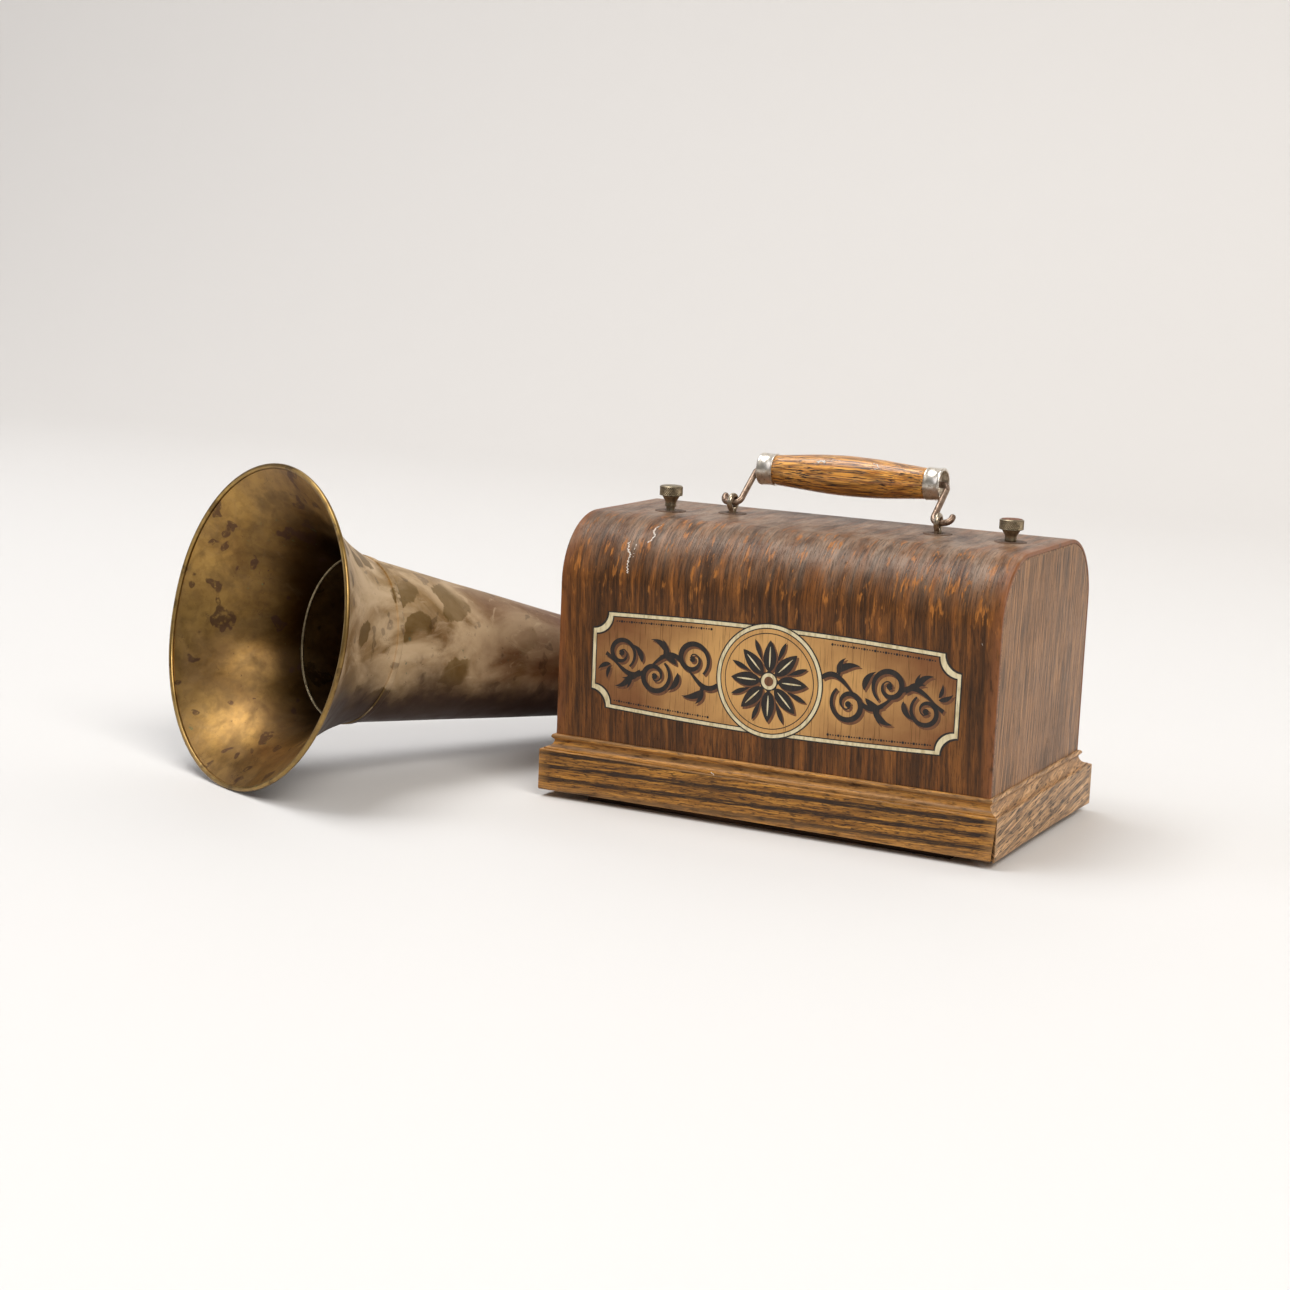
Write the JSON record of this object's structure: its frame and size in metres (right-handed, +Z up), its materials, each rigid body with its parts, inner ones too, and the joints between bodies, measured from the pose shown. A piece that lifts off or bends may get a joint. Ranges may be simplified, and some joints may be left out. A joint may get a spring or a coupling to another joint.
{
  "type": "horn gramophone",
  "caption": "Key-wound cylinder talking machine in a bent-top wooden carrying case with a swinging handle and lift-off cover, and its loose flared metal horn.",
  "frame": {"origin": "centre of the bottom board's underside", "axes": "+X to the right along the case, +Y to the back, +Z up"},
  "size_m": [0.4909, 0.4339, 0.1928],
  "materials": {
    "oak_cover": "aged varnish",
    "oak_end": "aged varnish",
    "oak_plinth": "aged varnish",
    "oak_plinth_side": "aged varnish",
    "bottom_wood": "dark, unpolished",
    "inner_wood": "unpolished",
    "grip_wood": "glossy varnish",
    "ferrule_nickel": "worn nickel plate",
    "bail_iron": "rusted wire",
    "eye_metal": "dulled",
    "screw_brass": "tarnished, knurled",
    "washer_metal": "tarnished",
    "horn_brass": "spun, unpolished",
    "horn_rim_brass": "rolled, rubbed bright",
    "horn_outer": "hazy, stained",
    "black_iron": "japanned",
    "steel": "turned",
    "plate_brass": "lacquered",
    "wheel_brass": "cut",
    "belt_leather": "oiled",
    "spring_steel": "blued",
    "nickel": "polished",
    "mica": "mica sheet"
  },
  "bodies": {
    "base": {"base_board": "bottom_wood", "plinth_front": "oak_plinth", "plinth_back": "oak_plinth", "plinth_left": "oak_plinth_side", "plinth_right": "oak_plinth_side", "deck_board": "inner_wood", "corner_blocks": "inner_wood", "bedplate": "black_iron", "bedplate_screws": "steel", "cover_posts": "plate_brass", "mandrel_standard": "black_iron", "right_standard": "black_iron", "bearing_bushes": "plate_brass", "guide_rod": "steel", "motor_plate_left": "plate_brass", "motor_plate_centre": "plate_brass", "motor_plate_right": "plate_brass", "motor_pillars": "wheel_brass", "drive_belt": "belt_leather"},
    "cover": {"cover_wrap": "oak_cover", "cover_end_left": "oak_end", "cover_end_right": "oak_end", "cover_washers": "washer_metal", "handle_eyes": "eye_metal"},
    "screw_left": {"cover_screw_left": "screw_brass"},
    "screw_right": {"cover_screw_right": "screw_brass"},
    "bail": {"handle_bail": "bail_iron"},
    "grip": {"handle_grip": "grip_wood", "handle_ferrules": "ferrule_nickel"},
    "horn": {"horn_bell": "horn_brass", "horn_rim": "horn_rim_brass", "horn_cone": "horn_outer"},
    "mandrel_body": {"mandrel": "nickel", "mandrel_shaft": "steel", "mandrel_pulley": "plate_brass", "mandrel_gear": "wheel_brass"},
    "feed_body": {"feed_screw": "steel", "feed_gear": "wheel_brass"},
    "second_body": {"second_arbor": "steel", "second_wheel": "wheel_brass"},
    "drive_body": {"drive_arbor": "steel", "third_wheel": "wheel_brass", "drive_pulley": "plate_brass"},
    "drum_body": {"spring_drum": "plate_brass", "great_wheel": "wheel_brass", "mainspring": "spring_steel"},
    "governor": {"governor_spindle": "steel", "governor_weights": "wheel_brass"},
    "winding_body": {"winding_arbor": "steel", "ratchet_wheel": "steel"},
    "key_body": {"winding_key": "nickel"},
    "click_body": {"click": "steel"},
    "brake_body": {"brake_lever": "plate_brass"},
    "speed_body": {"speed_screw": "screw_brass"},
    "carriage": {"carriage_sleeve": "nickel"},
    "arm": {"carriage_arm": "black_iron", "reproducer": "nickel", "diaphragm": "mica"},
    "stylus": {"stylus_lever": "wheel_brass"}
  },
  "joints": [
    {"name": "cover_lift", "type": "slide", "parent": "base", "child": "cover", "axis": [0, 0, 1], "range_m": [0, 0.2]},
    {"name": "screw_left_turn", "type": "hinge", "parent": "cover", "child": "screw_left", "pos_m": [-0.0924, -0.0112, 0.1573], "axis": [0, 0, 1], "range_deg": [0, 1800]},
    {"name": "screw_right_turn", "type": "hinge", "parent": "cover", "child": "screw_right", "pos_m": [0.1036, 0.0013, 0.1573], "axis": [0, 0, 1], "range_deg": [0, 1800]},
    {"name": "handle_swing", "type": "hinge", "parent": "cover", "child": "bail", "pos_m": [0, 0.0045, 0.1634], "axis": [1, 0, 0], "range_deg": [-26, 129]},
    {"name": "grip_roll", "type": "hinge", "parent": "bail", "child": "grip", "pos_m": [0, 0.02726, 0.18137], "axis": [1, 0, 0], "continuous": true},
    {"name": "horn_lift", "type": "slide", "parent": "base", "child": "horn", "axis": [0, 0, 1], "range_m": [0, 0.2]},
    {"name": "mandrel_turn", "type": "hinge", "parent": "base", "child": "mandrel_body", "pos_m": [0, -0.034, 0.074], "axis": [1, 0, 0], "continuous": true},
    {"name": "feed_turn", "type": "hinge", "parent": "base", "child": "feed_body", "pos_m": [0, 0.005, 0.074], "axis": [1, 0, 0], "continuous": true},
    {"name": "drum_turn", "type": "hinge", "parent": "base", "child": "drum_body", "pos_m": [0, 0.0365, 0.0695], "axis": [1, 0, 0], "continuous": true},
    {"name": "second_turn", "type": "hinge", "parent": "base", "child": "second_body", "pos_m": [0, 0.04164, 0.09865], "axis": [1, 0, 0], "continuous": true},
    {"name": "drive_turn", "type": "hinge", "parent": "base", "child": "drive_body", "pos_m": [0, 0.03621, 0.07837], "axis": [1, 0, 0], "continuous": true},
    {"name": "governor_turn", "type": "hinge", "parent": "base", "child": "governor", "pos_m": [0, 0.04086, 0.06098], "axis": [1, 0, 0], "continuous": true},
    {"name": "winding_turn", "type": "hinge", "parent": "base", "child": "winding_body", "pos_m": [0, 0.0365, 0.0695], "axis": [1, 0, 0], "range_deg": [0, 3600]},
    {"name": "key_pull", "type": "slide", "parent": "winding_body", "child": "key_body", "axis": [1, 0, 0], "range_m": [0, 0.014]},
    {"name": "click_lift", "type": "hinge", "parent": "base", "child": "click_body", "pos_m": [0.05, 0.0305, 0.0905], "axis": [1, 0, 0], "range_deg": [0, 20]},
    {"name": "brake_swing", "type": "hinge", "parent": "base", "child": "brake_body", "pos_m": [-0.05, 0.02686, 0.07498], "axis": [1, 0, 0], "range_deg": [0, 8]},
    {"name": "speed_turn", "type": "hinge", "parent": "base", "child": "speed_body", "pos_m": [-0.06, 0.04486, 0.05348], "axis": [1, 0, 0], "range_deg": [0, 720]},
    {"name": "carriage_slide", "type": "slide", "parent": "base", "child": "carriage", "axis": [1, 0, 0], "range_m": [-0.012, 0.088]},
    {"name": "arm_lift", "type": "hinge", "parent": "carriage", "child": "arm", "pos_m": [-0.024, 0.01, 0.104], "axis": [-1, 0, 0], "range_deg": [0, 8]},
    {"name": "stylus_tilt", "type": "hinge", "parent": "arm", "child": "stylus", "pos_m": [-0.024, -0.02, 0.1038], "axis": [-1, 0, 0], "range_deg": [-2, 1.5]}
  ],
  "couplings": [
    {"joint": "feed_turn", "follows": "mandrel_turn", "ratio": -0.5},
    {"joint": "drive_turn", "follows": "mandrel_turn", "ratio": 0.67857},
    {"joint": "second_turn", "follows": "mandrel_turn", "ratio": -0.1131},
    {"joint": "drum_turn", "follows": "mandrel_turn", "ratio": 0.017671},
    {"joint": "governor_turn", "follows": "mandrel_turn", "ratio": -3.3929}
  ]
}
